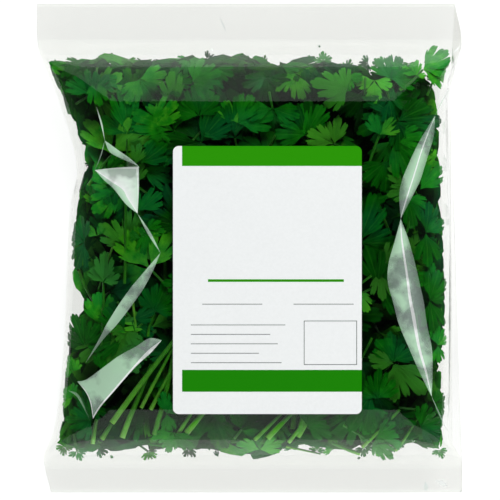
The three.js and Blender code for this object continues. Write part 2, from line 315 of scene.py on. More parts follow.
def crease_facets():
    """Each facet of the front as its outline: x, y, height, and milkiness with painted sheen"""
    facets = []
    for tips, heights, sides, lines in CREASES:
        traced = []
        for points, height in zip(lines, heights):
            line = trace([tips[0], *points, tips[1]])
            swell = np.sin(np.pi * np.linspace(0, 1, len(line))) ** 0.5
            traced.append(np.column_stack([line, height * swell]))
        for first, second, haze_and_sheen in zip(traced, traced[1:], sides):
            outline = np.concatenate([first, second[-2:0:-1]])
            hazes_and_sheens = np.repeat(haze_and_sheen, [len(first), len(second) - 2])
            facets.append(np.column_stack([outline, hazes_and_sheens]))
    return facets


def vent_outlines():
    """The two round vents of the back"""
    turn = np.linspace(0, 2 * np.pi, VENT_CORNERS, endpoint=False)
    x = VENT_RADIUS * np.cos(turn)
    y = VENT_Y + VENT_RADIUS * np.sin(turn)
    flat = np.zeros(VENT_CORNERS)
    return [np.column_stack([side * VENT_X + x, y, flat, flat]) for side in (-1, 1)]


def is_inside(u, y, outline_u, outline_y):
    """Whether points lie inside a closed outline"""
    inside = np.zeros(len(u), dtype=bool)
    for u0, y0, u1, y1 in zip(outline_u, outline_y, np.roll(outline_u, -1), np.roll(outline_y, -1)):
        if y0 != y1:
            inside ^= ((y0 > y) != (y1 > y)) & (u < (u1 - u0) * (y - y0) / (y1 - y0) + u0)
    return inside


def divide_sheet(columns, rows, outlines):
    """Divides a flat sheet into triangles that follow outlines drawn on it.

    It gives the points' shares across, their y and heights, the faces, the outline that each face lies in or
    -1, and the milkiness and painted sheen at each face's corners.
    """
    u, y = (part.ravel() for part in np.meshgrid(columns, rows))
    is_edge = (np.abs(u) == 1) | (np.abs(y) == BAG_LENGTH / 2)
    is_free = np.ones(len(u), dtype=bool)
    half_width = (across(RIGHT_FOLD, y) - across(LEFT_FOLD, y)) / 2
    points = []
    heights = []
    hazes_and_sheens = []
    polygons = []
    owners = []
    for number, outline in enumerate(outlines):
        outline_u = share_across(outline[:, 0], outline[:, 1])
        outline_y = outline[:, 1]
        near = np.hypot((u[:, None] - outline_u) * half_width[:, None], y[:, None] - outline_y).min(axis=1)
        is_free &= (near > CREASE_ROOM) & ~is_inside(u, y, outline_u, outline_y)
        area = np.sum(outline_u * np.roll(outline_y, -1) - outline_y * np.roll(outline_u, -1))
        order = list(range(len(points), len(points) + len(outline)))
        polygons.append(order if area > 0 else order[::-1])
        points += [Vector((FLAT_HALF * a, b)) for a, b in zip(outline_u, outline_y)]
        heights += outline[:, 2].tolist()
        hazes_and_sheens += outline[:, 3].tolist()
        owners += [number] * len(outline)
    kept = np.flatnonzero(is_free | is_edge)
    points += [Vector((FLAT_HALF * u[i], y[i])) for i in kept]
    places, _, faces, sources, _, face_sources = delaunay_2d_cdt(points, [], polygons, 0, 0.001)
    place_u = np.array([place.x for place in places]) / FLAT_HALF
    place_y = np.array([place.y for place in places])
    heights += [0] * len(kept)
    place_height = np.array([heights[source[0]] if source else 0 for source in sources])
    owner = [source[0] if source else -1 for source in face_sources]
    haze_and_sheen_of = {}
    for place, source in enumerate(sources):
        for point in source:
            if point < len(owners):
                haze_and_sheen_of[place, owners[point]] = hazes_and_sheens[point]
    corner_hazes_and_sheens = [[haze_and_sheen_of.get((corner, own), 0.0) for corner in face] for face, own in zip(faces, owner)]
    return place_u, place_y, place_height, faces, owner, corner_hazes_and_sheens


def film_rows():
    """y of the rows of points, closer together where the film leaves a weld or starts to slope"""
    off_weld = np.linspace(0, 13, 10)
    bend = np.array([-0.3, 0.3])
    even = np.linspace(-BAG_LENGTH / 2, BAG_LENGTH / 2, 111)
    rows = [even, TOP_WELD_Y - off_weld, BOTTOM_WELD_Y + off_weld, SLOPE_TOP_Y + bend, SLOPE_BOTTOM_Y + bend]
    return np.unique(np.round(np.concatenate(rows), 2))


def make_film():
    """The film as one tube: its front with the creases, and its back with the vents"""
    edge = np.array(COLUMNS_AT_FOLD)
    front_columns = np.concatenate([-edge, np.linspace(-0.893, 0.893, 75), edge[::-1]])
    back_columns = np.concatenate([-edge[::2], np.linspace(-0.9, 0.9, 43), edge[::-2]])
    back_columns[0], back_columns[-1] = -1, 1
    rows = film_rows()
    sheets = [(front_columns, crease_facets()), (back_columns, vent_outlines())]
    vertices = []
    faces = []
    hazes_and_sheens = []
    owners = []
    fold_points = {}
    for is_back, (columns, outlines) in enumerate(sheets):
        u, y, height, triangles, owner, corner_hazes_and_sheens = divide_sheet(columns, rows, outlines)
        left = across(LEFT_FOLD, y) + FILM_INSIDE
        right = across(RIGHT_FOLD, y) - FILM_INSIDE
        x = (left + right) / 2 + u * (right - left) / 2
        fold = fold_height(y)
        round_section = np.maximum(0, 1 - np.abs(u) ** SECTION_POWER) ** (1 / SECTION_POWER)
        share = np.minimum(1, FULLNESS * round_section * climb(y))
        off_fold = 1 - np.abs(u) ** FLAT_FOLD
        apart = SHEETS_APART * off_fold
        gather = gathers(x, y) * off_fold
        if is_back:
            z = fold - np.maximum(apart, fold * share - FILM_INSIDE) + gather
        else:
            full = front_height(x, y) - fold
            z = fold + np.maximum(apart, full - FILM_INSIDE) + gather
            z += ripple(x, y) * share + (height - SUNK_CREASE * (height > 0)) * share
        numbers = []
        for i in range(len(u)):
            place = (round(u[i], 3), round(y[i], 2))
            if abs(place[0]) == 1 and place in fold_points:
                numbers.append(fold_points[place])
            else:
                numbers.append(len(vertices))
                vertices.append((x[i], y[i], z[i]))
                if abs(place[0]) == 1:
                    fold_points[place] = numbers[-1]
        for corners, number, haze_and_sheen in zip(triangles, owner, corner_hazes_and_sheens):
            if is_back and number >= 0:
                continue
            corners = [numbers[corner] for corner in corners]
            faces.append(corners[::-1] if is_back else corners)
            owners.append(number if not is_back else -1)
            hazes_and_sheens += haze_and_sheen if number >= 0 else [0.0] * len(corners)
    piece = new_object("film", vertices, faces)
    mesh = piece.data
    # Milkiness of the creased film, partly stress whitening and partly painted sheen in place of reflections
    milk_and_sheen = mesh.attributes.new("milk_and_sheen", "FLOAT", "CORNER")
    milk_and_sheen.data.foreach_set("value", hazes_and_sheens)
    face_of_edge = {}
    for polygon in mesh.polygons:
        for key in polygon.edge_keys:
            face_of_edge.setdefault(key, []).append(owners[polygon.index])
    sharp = mesh.attributes.new("sharp_edge", "BOOLEAN", "EDGE")
    sharp.data.foreach_set("value", [len(set(face_of_edge[edge.key])) > 1 for edge in mesh.edges])
    wall = piece.modifiers.new("wall", "SOLIDIFY")
    wall.thickness = FILM_THICKNESS * MM
    wall.offset = -1
    apply_modifiers(piece)
    return piece


def new_material(name):
    """A material with its node tree emptied, and the tree"""
    material = bpy.data.materials.new(name)
    material.use_nodes = True
    material.node_tree.nodes.clear()
    return material, material.node_tree


def add_node(tree, kind, inputs=None, **properties):
    """A node with its properties set, and its inputs set to values or linked to other nodes' sockets"""
    node = tree.nodes.new(kind)
    for name, value in properties.items():
        setattr(node, name, value)
    for name, value in (inputs or {}).items():
        if isinstance(value, bpy.types.NodeSocket):
            tree.links.new(value, node.inputs[name])
        else:
            node.inputs[name].default_value = value
    return node


def calculate(tree, operation, *values, **properties):
    """The result of a sum on sockets and numbers"""
    inputs = dict(enumerate(values))
    return add_node(tree, "ShaderNodeMath", inputs, operation=operation, **properties).outputs[0]


def carry_over(tree, value, low, high, new_low=0.0, new_high=1.0):
    """A value carried over from one range to another, and held within it"""
    ends = {"Value": value, "From Min": low, "From Max": high, "To Min": new_low, "To Max": new_high}
    return add_node(tree, "ShaderNodeMapRange", ends).outputs[0]


def noise(tree, scale, detail):
    """Fine random spots that are fixed to the piece"""
    place = add_node(tree, "ShaderNodeTexCoord").outputs["Object"]
    spots = add_node(tree, "ShaderNodeTexNoise", {"Vector": place, "Scale": scale, "Detail": detail})
    return spots.outputs["Fac"]


def mix_colours(tree, share, first, second, **properties):
    colours = {"Factor": share, 6: first, 7: second}
    return add_node(tree, "ShaderNodeMix", colours, data_type="RGBA", **properties).outputs[2]


def mix_shaders(tree, share, first, second):
    return add_node(tree, "ShaderNodeMixShader", {0: share, 1: first.outputs[0], 2: second.outputs[0]})


def film_material():
    """Clear film that mirrors the studio at its slopes, with milky stress marks and painted sheen where it
    is creased, and painted glints near the welds
    """
    material, tree = new_material("clear_film")
    clear = add_node(tree, "ShaderNodeBsdfTransparent", {"Color": (0.975, 0.976, 0.969, 1)})
    gloss = add_node(tree, "ShaderNodeBsdfAnisotropic", {"Color": (1, 1, 1, 1), "Roughness": 0.06})
    facing = add_node(tree, "ShaderNodeLayerWeight", {"Blend": 0.5}).outputs["Facing"]
    fresnel = calculate(tree, "MULTIPLY_ADD", calculate(tree, "POWER", facing, 5.0), 0.967, 0.033)
    shine = mix_shaders(tree, fresnel, clear, gloss)
    # The whitened film is partly stress whitening and partly painted sheen: tinted white that stands in for
    # the soft boxes' reflections in the creases
    milk_and_sheen = add_node(tree, "ShaderNodeAttribute", attribute_name="milk_and_sheen").outputs["Fac"]
    patches = carry_over(tree, noise(tree, 60.0, 3.0), 0.42, 0.56, 0.45, 1.1)
    amount = calculate(tree, "MULTIPLY", milk_and_sheen, patches, use_clamp=True)
    tint = mix_colours(tree, patches, (0.5, 0.51, 0.57, 1), (0.56, 0.78, 0.6, 1))
    whitening_and_sheen_colour = mix_colours(tree, carry_over(tree, milk_and_sheen, 0.6, 0.95), tint, (0.86, 0.85, 0.87, 1))
    white = add_node(tree, "ShaderNodeBsdfPrincipled", {"Base Color": whitening_and_sheen_colour, "Roughness": 0.3})
    stretch_marks_and_sheen = mix_shaders(tree, amount, shine, white)
    add_node(tree, "ShaderNodeOutputMaterial", {"Surface": stretch_marks_and_sheen.outputs[0]})
    return material


film = make_film()
film.data.materials.append(film_material())
film.visible_shadow = False
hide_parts("bag_film")
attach(film, "root")

# The sprigs of parsley
# Cut stems of flat-leaf parsley with their side branches and leaves, and leaves that have broken off. They
# lie pressed in layers, all with their cut ends towards the bottom of the bag, where the stems are palest.
SEED = 20261
LAYERS = 6
CLEAR_OF_FILM = 1.5
LEAST_RISE = 0.4  # of the film over every disc of a sprig
SWING = 0.3  # how much a leaf's lean counts, in layers
WAVE_HEIGHT = 5  # of the layers in the middle of the pile
WAVE_LENGTH_X = 74
WAVE_LENGTH_Y = 61
CALM_BELOW = 14  # where the pile is thinner than this, its layers are flat
WAVES_GROW = 24  # from there on until the waves are full
SPRIG_GAP = 0.9
SHORT_SPRIGS = 7
CUT_ENDS = [(-86, -42), (4, 62)]  # where the long sprigs of a layer start
STEM_WIDTH = 3.2
BRANCH_WIDTH = 1.9
TRIES = 3000
CHOICES = 12  # fitting places, of which the roomiest is kept


def pile_height(x, y, level):
    """Height of a point of the pile: level 0 is the back of the pile and level LAYERS its front"""
    fold = fold_height(y)
    low = back_height(x, y) + CLEAR_OF_FILM
    high = fold + (PACK_HEIGHT - fold) * rise(x, y) - CLEAR_OF_FILM
    share = level / LAYERS
    room = np.clip((high - low - CALM_BELOW) / WAVES_GROW, 0, 1)
    swell = np.sin(2 * np.pi * x / WAVE_LENGTH_X + 1) * np.sin(2 * np.pi * y / WAVE_LENGTH_Y)
    return low + share * (high - low) + 4 * share * (1 - share) * WAVE_HEIGHT * room * room * swell


state = SEED


def draw_number(low, high):
    """The next of the seeded random numbers that place the sprigs"""
    global state
    state = state * 16807 % 2147483647
    return low + (high - low) * (state / 2147483647)


def draw_degrees(low, high):
    return math.radians(draw_number(low, high))


def step(point, heading, distance):
    return point[0] + distance * math.cos(heading), point[1] + distance * math.sin(heading)


def walk(start, heading, bend, length, steps):
    """A line of points that turns by bend along its length"""
    points = [start]
    for i in range(steps):
        points.append(step(points[i], heading + bend * (i + 0.5) / steps, length / steps))
    return points


def draw_leaf(hub, heading, size):
    leaf = {"hub": hub, "heading": heading, "size": size}
    leaf["spread"] = draw_degrees(68, 76)
    leaf["side"] = draw_number(0.8, 0.92)
    return leaf


def draw_long_sprig():
    """A whole sprig: a cut stem, one pair of side branches, and the tip, each with its three leaflets"""
    start = draw_number(*cut_ends), draw_number(-108, -70)
    heading = draw_degrees(58, 100)
    bend = draw_degrees(-24, 24)
    length = draw_number(104, 132)
    steps = 6
    fork = 4
    axis = walk(start, heading, bend, length, steps)
    size = draw_number(24, 29)
    sprig = {"stalks": [(axis, STEM_WIDTH)], "leaves": []}
    for side in (-1, 1):
        away = heading + bend * fork / steps + side * draw_degrees(48, 62)
        inwards = side * math.radians(12)
        branch = walk(axis[fork], away, -inwards, draw_number(19, 25), 2)
        sprig["stalks"].append((branch, BRANCH_WIDTH))
        sprig["leaves"].append(draw_leaf(branch[2], away - inwards, size * draw_number(0.86, 0.98)))
    sprig["leaves"].append(draw_leaf(axis[steps], heading + bend, size))
    return sprig


def draw_short_sprig():
    """A leaf broken from a sprig: a thin stalk with its three leaflets"""
    start = draw_number(-95, 105), draw_number(-108, 104)
    heading = draw_number(0, 2 * math.pi)
    bend = draw_degrees(-20, 20)
    points = walk(start, heading, bend, draw_number(20, 44), 3)
    leaf = draw_leaf(points[3], heading + bend, draw_number(23, 31))
    return {"stalks": [(points, BRANCH_WIDTH)], "leaves": [leaf]}


def leaflets_of(leaf):
    """The leaflets of a leaf, from its right side to its left: heading from the hub, and length"""
    side = leaf["size"] * leaf["side"]
    return [
        (leaf["heading"] - leaf["spread"], side),
        (leaf["heading"], leaf["size"]),
        (leaf["heading"] + leaf["spread"], side),
    ]


def discs_of(sprig):
    """The discs that a flat sprig covers, as x, y and radius"""
    discs = []
    for leaf in sprig["leaves"]:
        for heading, length in leaflets_of(leaf):
            discs.append((*step(leaf["hub"], heading, 0.57 * length), 0.45 * length))
    for points, width in sprig["stalks"]:
        for (x0, y0), (x1, y1) in zip(points, points[1:]):
            for share in (0, 0.2, 0.4, 0.6, 0.8, 1):
                discs.append((x0 + share * (x1 - x0), y0 + share * (y1 - y0), width / 2 + 0.8))
    return np.array(discs)


def fit_in_bag(discs):
    x, y, radius = discs.T
    for dx, dy in ((1, 0), (-1, 0), (0, 1), (0, -1)):
        px = x + dx * radius
        py = y + dy * radius
        if not ((climb(py) > 0) & (rise(px, py) > LEAST_RISE)).all():
            return False
    return True


def are_apart(discs, taken):
    apart = np.hypot(discs[:, None, 0] - taken[None, :, 0], discs[:, None, 1] - taken[None, :, 1])
    return (apart > discs[:, None, 2] + taken[None, :, 2] + SPRIG_GAP).all()


hubs = []


def elbow_room(sprig):
    """How far the leaves of a sprig are, at the least, from every leaf that the bag already holds"""
    return min((math.dist(leaf["hub"], hub) for leaf in sprig["leaves"] for hub in hubs), default=math.inf)


def place_sprig(draw, taken):
    """Draws sprigs until some fit beside those that their layer already holds, and keeps the roomiest"""
    best = None
    best_discs = None
    best_room = -1
    found = 0
    for _ in range(TRIES):
        sprig = draw()
        discs = discs_of(sprig)
        if are_apart(discs, taken) and fit_in_bag(discs):
            found += 1
            room = elbow_room(sprig)
            if room > best_room:
                best, best_discs, best_room = sprig, discs, room
        if found == CHOICES:
            break
    if best is None:
        return None, taken
    hubs.extend(leaf["hub"] for leaf in best["leaves"])
    return best, np.concatenate([taken, best_discs])


layers = []
for layer in range(LAYERS):
    taken = np.zeros((0, 3))
    sprigs = []
    for cut_ends in CUT_ENDS:
        sprig, taken = place_sprig(draw_long_sprig, taken)
        sprigs.append(sprig)
    for _ in range(SHORT_SPRIGS):
        sprig, taken = place_sprig(draw_short_sprig, taken)
        sprigs.append(sprig)
    layers.append([sprig for sprig in sprigs if sprig])
for sprigs in layers:
    for sprig in sprigs:
        for leaf in sprig["leaves"]:
            leaf["lean"] = draw_number(-0.5, 0.5)
            leaf["twist"] = draw_number(-0.35, 0.35)

# One leaflet's edge from its midrib to one side: degrees from the midrib, and distance from the root as a
# share of its length. It runs over the teeth of the middle lobe, the cut between the lobes, and the teeth
# of the side lobe
LEAFLET_EDGE = [
    (0, 1.0), (2.5, 0.985), (4.5, 0.92), (6.5, 0.95), (9, 0.93), (11.5, 0.84), (13.8, 0.52), (15.5, 0.71),
    (18, 0.84), (20.5, 0.88), (23, 0.81), (25.5, 0.85), (28.5, 0.82), (31, 0.71), (33, 0.54), (34.8, 0.62),
    (37, 0.65), (39.2, 0.56), (41, 0.42),
]
VEINS = [(0, 1.0), (20.5, 0.8), (9, 0.3), (28.5, 0.35), (37, 0.4)]
NECK = 0.42  # how far out a leaflet reaches its full width, as a share of its length
NECK_WIDTH = 0.3  # its width at the root, as a share of a plain wedge's
BLADE = 0.3  # thickness
LEAFLET_SPREAD = (0.82, 1.04)  # of the angles of the edge, from leaflet to leaflet
VEIN_HALF = 1.5  # degrees
LOBE_CUT = 13  # degrees from the midrib to the cut between the lobes
LEAST_TONE = 0.08
TONE_POWER = 1.25  # above 1, so that more leaves are dark than light
TURNED_OVER = 0.12  # share of the leaves that show their paler underside
STALK_SHARE = 0.88  # of a stalk's width, as against the solid model's
STALK_FLARE = 1.08  # of a stalk's foot, as a share of its width
TIP_SHARES = {STEM_WIDTH: 0.62, BRANCH_WIDTH: 0.72}  # of a stalk's tip
ROOT_SHARE = 0.03
LEAF_CLEARANCE = 1.1  # of the middle of a blade from the film
WELD_ROOM = 2.0  # of a blade from the welds
WELD_SOFT = 3.0
# Painted shade and light: the colour of leaves and stalks is darkened by their depth in the pile and
# lightened at its rim, in place of real shade and light
PAINTED_SHADE_DEPTH = 12  # from the film to where the pile is dark
DARKEST_PAINTED_SHADE = 0.1
RIM_WIDTH = 20
PAINTED_RIM_LIGHT = 0.8  # how much lighter its rim is
PRESSED = 0.85  # of the way from the middle of the bag to the film, where leaves start to be pressed flat
FOLD_SOFT = 0.94  # shares of the half width between which what stands out is bent back
FOLD_HARD = 0.98
SMALLEST_SPRIG_LEAF = 9
SHRINK = 0.93  # of a sprig's leaf, step by step
# The ragged edge of the pile: its top and bottom from left to right as x and y, and its sides from the
# bottom up as y and x
PILE_TOP = [
    (-113, 103), (-88, 102.5), (-84, 105.4), (-75, 105), (-72, 99), (-56, 100), (-53, 104.4), (-32, 103.3),
    (-10, 102.7), (-2, 107), (4, 102.7), (6, 98), (12, 99.5), (16, 103.3), (19, 100), (28, 100), (37, 102.2),
    (42, 101.7), (43.5, 96), (49, 99.5), (59, 99.5), (63, 97), (70, 91.5), (80, 90.5), (85, 98), (91, 100),
    (93.5, 93), (101, 86),
]
PILE_BOTTOM = [
    (-109, -108), (-99, -108), (-88, -110), (-64, -109), (-40, -106), (-32, -111.5), (-15, -106),
    (-1, -113.5), (10, -108.7), (17.5, -111.5), (23, -106.5), (43, -109), (52, -106), (69, -108), (74, -104),
    (83, -104.5), (94, -107), (105, -112.5),
]
PILE_LEFT = [
    (-109, -108.2), (-105, -106.6), (-94, -101.6), (-88, -99.4), (-75, -101.6), (-66, -101.6), (-60, -97.2),
    (-50, -100), (-44, -99), (-42, -94.4), (-34, -89), (-17, -91), (-15.6, -95.6), (-6, -96.4), (-0.6, -94),
    (5, -97), (12, -96.5), (24, -94.4), (32, -93.3), (41, -87), (54, -88), (63, -92), (68, -95.5),
    (74, -99.7), (82, -101), (84, -106), (88, -104), (90, -108.8), (96, -111), (103, -112.6),
]
PILE_RIGHT = [
    (-112, 107), (-100, 106), (-91, 105.7), (-83, 107.3), (-79, 106.3), (-75, 99), (-69, 101), (-65, 104.6),
    (-61, 100.7), (-53, 106), (-49, 104), (-44, 106.3), (-35, 105.7), (-32, 103.5), (-28, 107),
    (-12.4, 106.5), (-11, 100.7), (-6, 106.5), (8, 105), (18, 104), (33, 101.5), (39, 105), (53, 102.5),
    (61, 103.5), (69, 102), (76, 100.5), (86, 101), (93, 94),
]


def beyond_pile(x, y):
    """How far points stand out of the edge of the pile, or less than 0 inside it"""
    top, bottom, left, right = (np.array(edge).T for edge in (PILE_TOP, PILE_BOTTOM, PILE_LEFT, PILE_RIGHT))
    above = np.maximum(y - np.interp(x, *top), np.interp(x, *bottom) - y)
    return np.maximum(above, np.maximum(x - np.interp(y, *right), np.interp(y, *left) - x))


def lies_in_pile(leaf, room=0.6):
    """Whether the lobes of a leaf keep within the edge of the pile, and no more than room beyond it"""
    tips = [leaf["hub"]]
    for heading, length in leaf.get("leaflets") or leaflets_of(leaf):
        for turn, reach in ((-0.35, 0.9), (0, 1), (0.35, 0.9)):
            tips.append(step(leaf["hub"], heading + turn, reach * length))
    x, y = np.array(tips).T
    return (beyond_pile(x, y) < room).all()


def fit_in_pile(leaf):
    """The leaf, made smaller in its place if its lobes would stand out of the pile"""
    while leaf["size"] > SMALLEST_SPRIG_LEAF and not lies_in_pile(leaf):
        leaf = {**leaf, "size": SHRINK * leaf["size"]}
    return leaf


def sheet_faces(rows, columns):
    """The faces of a thin closed sheet: a grid, the same grid turned over, and the rim between them"""
    count = rows * columns
    grid = np.arange(count).reshape(rows, columns)
    top = np.stack([grid[:-1, :-1], grid[:-1, 1:], grid[1:, 1:], grid[1:, :-1]], axis=-1).reshape(-1, 4)
    loop = np.concatenate([grid[0, :-1], grid[:-1, -1], grid[-1, :0:-1], grid[:0:-1, 0]])
    after = np.roll(loop, -1)
    rim = np.stack([after, loop, loop + count, after + count], axis=1)
    return np.concatenate([top, top[:, ::-1] + count, rim])


def leaflet_edge(stride):
    """Angles in radians and distances of the whole edge, from each point of the list or some of them"""
    angles, radii = np.array(LEAFLET_EDGE[::stride]).T
    return np.radians(np.concatenate([-angles[:0:-1], angles])), np.concatenate([radii[:0:-1], radii])


def held(value, free, limit):
    """A value that runs on as it is up to free, and from there slows down towards limit"""
    size = np.abs(value)
    over = np.maximum(0, size - free)
    return np.sign(value) * (np.minimum(size, free) + (limit - free) * np.tanh(over / (limit - free)))


def keep_between_folds(x, y):
    """Bends back what would stand out through the side folds or the welds"""
    end = np.where(y > 0, TOP_WELD_Y, -BOTTOM_WELD_Y) - WELD_ROOM
    y = held(y, end - WELD_SOFT, end)
    middle = (across(LEFT_FOLD, y) + across(RIGHT_FOLD, y)) / 2
    half = (across(RIGHT_FOLD, y) - across(LEFT_FOLD, y)) / 2
    return middle + half * held((x - middle) / half, FOLD_SOFT, FOLD_HARD), y


def keep_inside(x, y, z):
    """Presses what would stand out of the film flat against it"""
    low = back_height(x, y) + LEAF_CLEARANCE
    high = front_height(x, y) - LEAF_CLEARANCE
    middle = (low + high) / 2
    half = np.maximum((high - low) / 2, 0.05)
    return middle + half * held((z - middle) / half, PRESSED, 1)


def painted_shade_and_light_at(x, y, z):
    """Painted shade and light for the colour of the pile: dark in its middle, 1 at the film, and more at its
    rim
    """
    deep = np.minimum(front_height(x, y) - z, z - back_height(x, y))
    rim = np.clip(1 + beyond_pile(x, y) / RIM_WIDTH, 0, 1)
    return np.clip(1.28 - deep / PAINTED_SHADE_DEPTH + 0.5 * rim, DARKEST_PAINTED_SHADE, 1) * (1 + PAINTED_RIM_LIGHT * rim)


class Leafage:
    """Gathers blades and stalks into one mesh"""

    def __init__(self, seed, stride, rings, tilt):
        self.tilt = tilt
        self.random = np.random.default_rng(seed)
        self.angles, self.radii = leaflet_edge(stride)
        self.rings = np.linspace(0, 1, rings) ** 0.8 * (1 - ROOT_SHARE) + ROOT_SHARE
        self.faces_of_blade = sheet_faces(rings, len(self.angles))
        self.vertices = []
        # The last mark is painted shade and light, which darkens or lightens the colour
        self.marks = []  # tone; vein, or turn round a stalk; underside, or share along a stalk; shade
        self.faces = []
        self.is_stalk = []
        self.count = 0

    def add(self, vertices, marks, faces, is_stalk):
        self.vertices.append(vertices)
        self.marks.append(marks)
        self.faces += [[self.count + corner for corner in face] for face in faces]
        self.is_stalk += [is_stalk] * len(faces)
        self.count += len(vertices)

    def add_leaf(self, leaf, layer, tone=None):
        """Its leaflets, toothed, veined and a little crumpled, in the layer that holds the leaf"""
        if tone is None:
            tone = self.random.uniform(LEAST_TONE, 1) ** TONE_POWER
        turned_over = self.random.uniform() < TURNED_OVER
        for heading, length in leaf.get("leaflets") or leaflets_of(leaf):
            draw = self.random.uniform
            angle = self.angles * draw(*LEAFLET_SPREAD)
            uneven = 0.04 * np.sin(5 * self.angles + draw(0, 6))
            uneven += 0.03 * np.sin(13 * self.angles + draw(0, 6))
            reach = self.rings[:, None] * (self.radii * (1 + uneven))[None, :]
            neck = np.clip(reach / NECK, 0, 1)
            x = reach * np.cos(angle)
            y = reach * np.sin(angle) * (NECK_WIDTH + (1 - NECK_WIDTH) * neck * neck * (3 - 2 * neck))
            y += draw(-0.12, 0.12) * x**2
            vein = np.zeros_like(angle)
            for vein_angle, strength in VEINS:
                away = np.abs(np.abs(np.degrees(self.angles)) - vein_angle)
                vein = np.maximum(vein, strength * np.clip(1 - away / VEIN_HALF, 0, 1))
            pleat = 1 - np.clip(np.abs(np.abs(np.degrees(angle)) - LOBE_CUT) / LOBE_CUT, 0, 1)
            tilt = self.tilt
            crumple = draw(-tilt, tilt) * x + draw(-tilt, tilt) * y + draw(-0.1, 0.45) * np.abs(y)
            crumple += draw(-0.25, 0.08) * x**2
            crumple += draw(0.0, 0.02) * reach**2 * np.sin(8 * angle + draw(0, 6))
            crumple += draw(0.0, 0.025) * reach * pleat
            cos, sin = math.cos(heading), math.sin(heading)
            hub_x, hub_y = leaf["hub"]
            px = hub_x + length * (cos * x - sin * y)
            py = hub_y + length * (sin * x + cos * y)
            px, py = keep_between_folds(px, py)
            dx = px - hub_x
            dy = py - hub_y
            cos, sin = math.cos(leaf["heading"]), math.sin(leaf["heading"])
            along = (cos * dx + sin * dy) / leaf["size"]
            aside = (cos * dy - sin * dx) / leaf["size"]
            level = layer + 0.5 + SWING * (leaf["lean"] * along + leaf["twist"] * aside)
            pz = keep_inside(px, py, pile_height(px, py, level) + length * crumple)
            top = np.stack([px, py, pz + BLADE / 2], axis=-1).reshape(-1, 3)
            under = np.stack([px, py, pz - BLADE / 2], axis=-1).reshape(-1, 3)
            vertices = np.concatenate([top, under])
            leaflet_tone = np.clip(tone + draw(-0.12, 0.12), 0, 1)
            marks = np.empty((2, len(self.rings), len(angle), 4))
            marks[..., 0] = leaflet_tone
            marks[..., 1] = vein * np.clip(1.25 - self.rings[:, None], 0.3, 1)
            marks[0, ..., 2] = 1.0 if turned_over else 0.0
            marks[1, ..., 2] = 0.0 if turned_over else 1.0
            # Painted shade and light, from the blade's depth in the pile and its nearness to the rim
            marks[..., 3] = painted_shade_and_light_at(px, py, pz)
            self.add(vertices, marks.reshape(-1, 4), self.faces_of_blade.tolist(), False)

    def add_stalk(self, points, width, layer, tip_share, pale, sides=9):
        """A round stalk that tapers from its cut end or fork to its tip, paler or darker green"""
        path = np.array(points, dtype=float)
        knots = np.arange(len(path))
        fine = np.linspace(0, len(path) - 1, 5 * (len(path) - 1) + 1)
        x = np.interp(fine, knots, path[:, 0])
        y = np.interp(fine, knots, path[:, 1])
        for _ in range(3):
            x[1:-1] = (x[:-2] + 2 * x[1:-1] + x[2:]) / 4
            y[1:-1] = (y[:-2] + 2 * y[1:-1] + y[2:]) / 4
        run_x = np.gradient(x)
        run_y = np.gradient(y)
        run = np.hypot(run_x, run_y)
        share = fine / fine[-1]
        radius = width / 2 * (STALK_FLARE + (tip_share - STALK_FLARE) * share)
        turn = np.linspace(0, 2 * np.pi, sides, endpoint=False)
        aside = radius[:, None] * np.cos(turn)
        px = x[:, None] - run_y[:, None] / run[:, None] * aside
        py = y[:, None] + run_x[:, None] / run[:, None] * aside
        middle = pile_height(x, y, layer + 0.5)
        pz = middle[:, None] + radius[:, None] * np.sin(turn)
        vertices = np.stack([px, py, pz], axis=-1).reshape(-1, 3)
        ring = np.arange(sides)
        following = np.roll(ring, -1)
        faces = [list(range(sides))[::-1], [(len(fine) - 1) * sides + i for i in range(sides)]]
        for row in range(len(fine) - 1):
            low = row * sides
            high = low + sides
            faces += np.stack([low + ring, low + following, high + following, high + ring], axis=1).tolist()
        marks = np.zeros((len(fine), sides, 4))
        marks[..., 0] = pale
        marks[..., 1] = (turn / (2 * np.pi))[None, :]
        marks[..., 2] = share[:, None]
        # Painted shade and light, from the stalk's depth in the pile and its nearness to the rim
        marks[..., 3] = painted_shade_and_light_at(x, y, middle)[:, None]
        self.add(vertices, marks.reshape(-1, 4), faces, True)

    def add_sprig(self, sprig, layer):
        for points, width in sprig["stalks"]:
            self.add_stalk(points, width * STALK_SHARE, layer, TIP_SHARES[width], 0.5)
        for leaf in sprig["leaves"]:
            self.add_leaf(fit_in_pile(leaf), layer)

    def finish(self, name, materials):
        piece = new_object(name, np.concatenate(self.vertices), self.faces, 55)
        marks = piece.data.color_attributes.new("marks", "FLOAT_COLOR", "POINT")
        marks.data.foreach_set("color", np.concatenate(self.marks).ravel())
        for material in materials:
            piece.data.materials.append(material)
        piece.data.polygons.foreach_set("material_index", np.array(self.is_stalk, dtype=np.int32))
        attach(piece, "root")
        return piece


def ramp_colour(tree, value, first, last, between):
    """The colour at a value on a scale that runs from a first colour at 0 to a last one at 1"""
    ramp = add_node(tree, "ShaderNodeValToRGB", {"Fac": value})
    elements = ramp.color_ramp.elements
    elements[0].color = first
    elements[1].color = last
    for place, colour in between:
        elements.new(place).color = colour
    return ramp.outputs["Color"]


def read_marks(tree):
    """The marks of a blade or a stalk: tone, vein or turn, underside or share along, and painted shade and
    light
    """
    marks = add_node(tree, "ShaderNodeAttribute", attribute_name="marks").outputs
    channels = add_node(tree, "ShaderNodeSeparateColor", {0: marks["Color"]}).outputs
    return channels["Red"], channels["Green"], channels["Blue"], marks["Alpha"]


